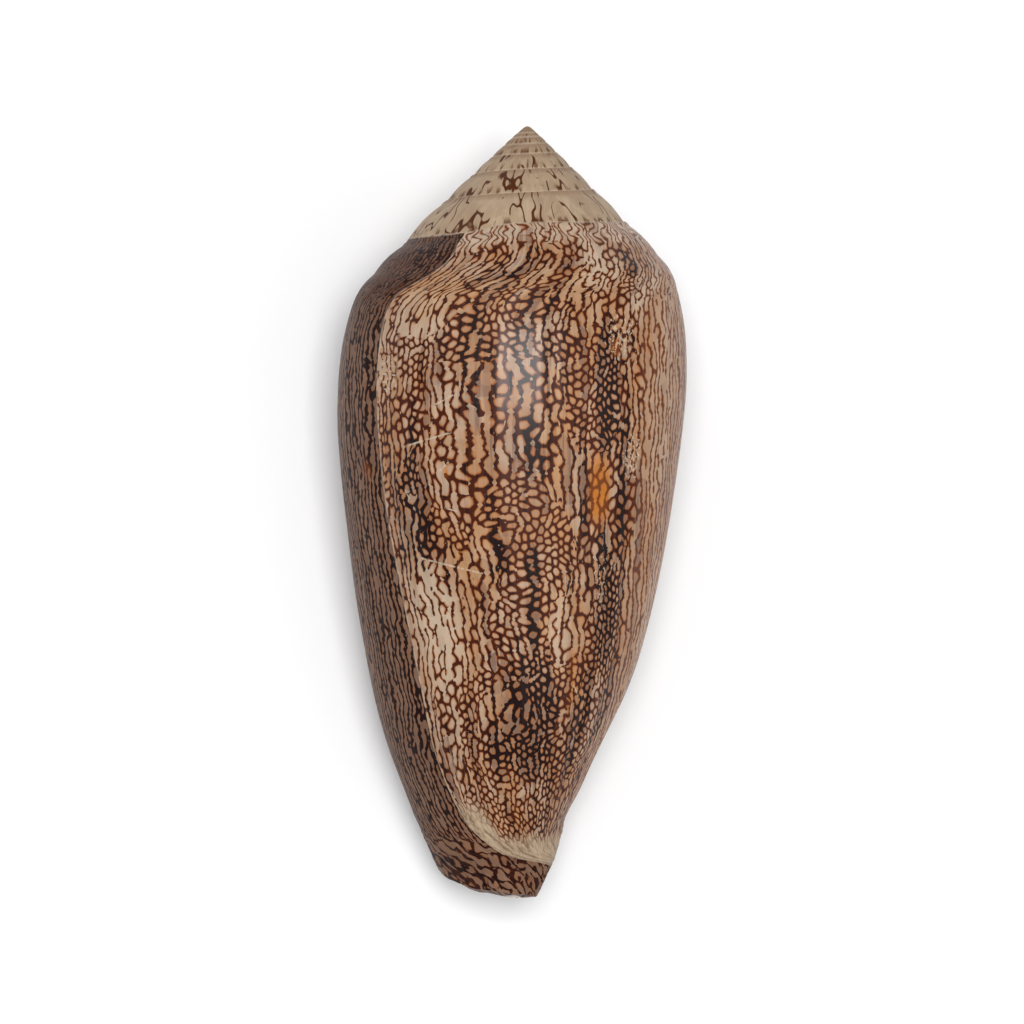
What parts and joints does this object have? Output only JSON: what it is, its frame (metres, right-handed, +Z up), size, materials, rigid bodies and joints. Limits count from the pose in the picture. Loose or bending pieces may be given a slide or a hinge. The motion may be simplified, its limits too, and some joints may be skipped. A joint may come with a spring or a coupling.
{
  "type": "cone shell",
  "caption": "Tall cone-shaped sea shell with a pointed spire, a rounded shoulder, a long narrow mouth and a netted brown pattern, lying on its mouth.",
  "frame": {"origin": "under the middle of the bounding box, at the height of the surface that the shell lies on", "axes": "+Y along the shell towards the spire, +Z up through the middle of its back, the mouth down"},
  "size_m": [0.0358, 0.0796, 0.0333],
  "materials": {
    "shell": "semi-gloss shell, cream and tan with a dense net of brown lines"
  },
  "bodies": {
    "root": {"shell": "shell"}
  },
  "joints": []
}
